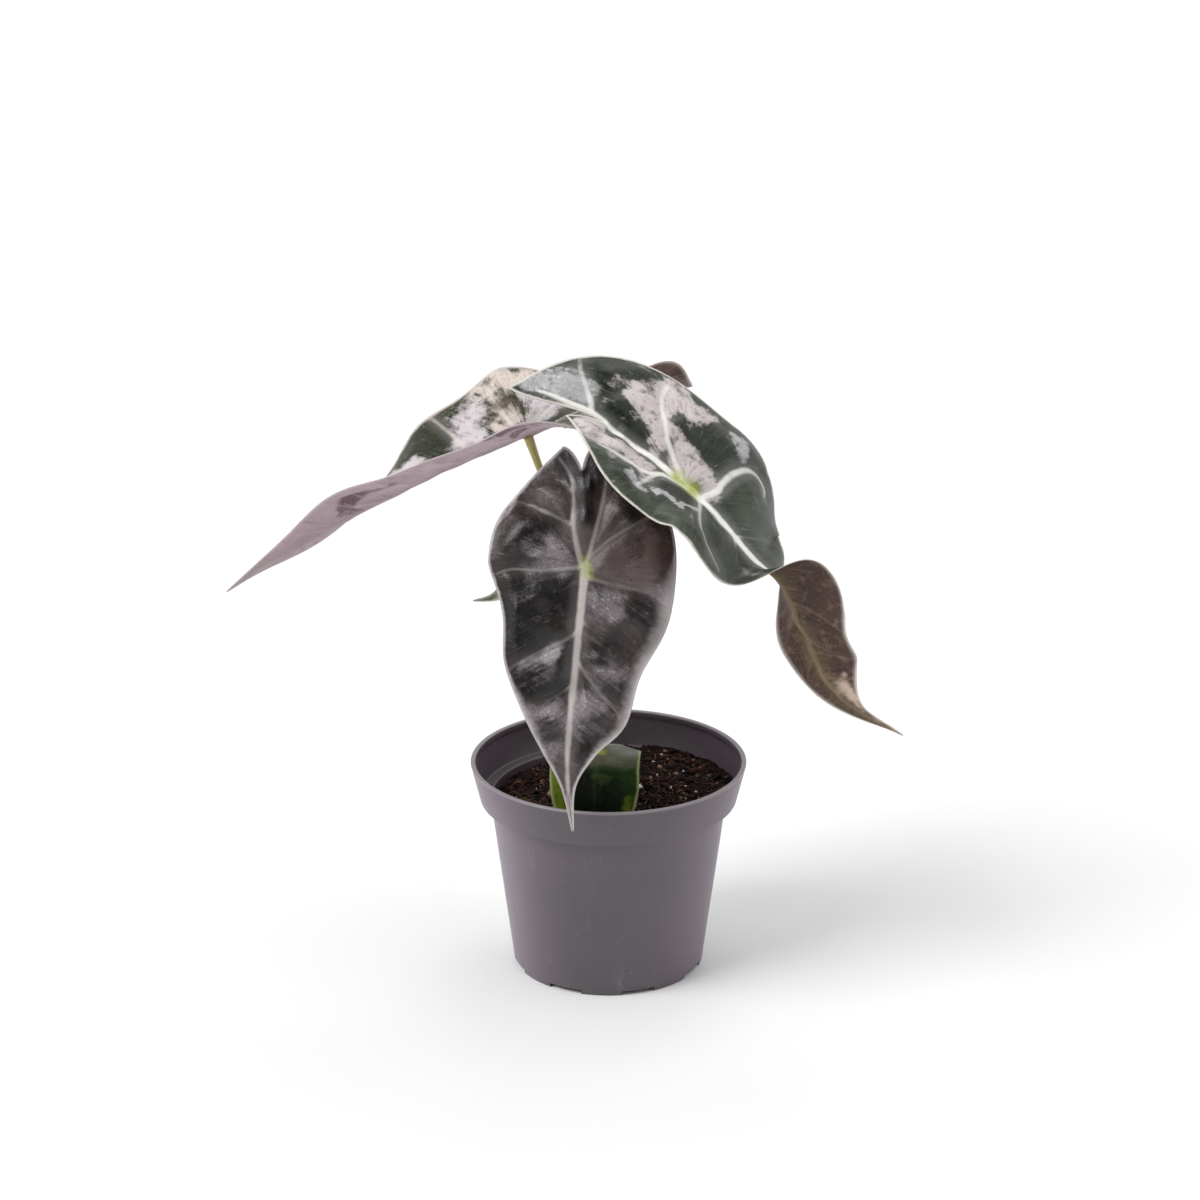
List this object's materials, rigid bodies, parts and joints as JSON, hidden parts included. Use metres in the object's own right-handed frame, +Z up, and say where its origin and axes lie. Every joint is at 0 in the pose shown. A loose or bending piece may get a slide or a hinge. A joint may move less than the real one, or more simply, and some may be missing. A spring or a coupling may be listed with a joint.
{
  "type": "potted bambino arrow alocasia",
  "caption": "Arrow-leaved aroid house plant with wavy, pale-veined blades on slender stalks, in a round collared nursery pot filled with soil.",
  "frame": {"origin": "centre of the pot's flat foot, on the pot's axis", "axes": "+Z up along the pot's axis, -Y towards the front blade, +X towards the twisted right-hand blade"},
  "size_m": [0.2837, 0.1684, 0.2743],
  "materials": {
    "pot": "taupe-grey moulded polypropylene, satin",
    "soil": "dark red-brown fibrous potting soil, crumbly",
    "crown": "brown fibrous rootstock",
    "stalk": "yellow-green smooth leaf stalk, satin",
    "leaf": "dark green leathery blade, glossy above with pale veins, purple-brown below"
  },
  "bodies": {
    "root": {"pot": "pot", "soil": "soil", "crown": "crown", "stalk_front": "stalk", "stalk_right": "stalk", "stalk_left": "stalk", "stalk_back": "stalk", "stalk_side": "stalk", "stalk_low": "stalk", "blade_front": "leaf", "blade_right": "leaf", "blade_left": "leaf", "blade_back": "leaf", "blade_side": "leaf", "blade_low": "leaf"}
  },
  "joints": []
}
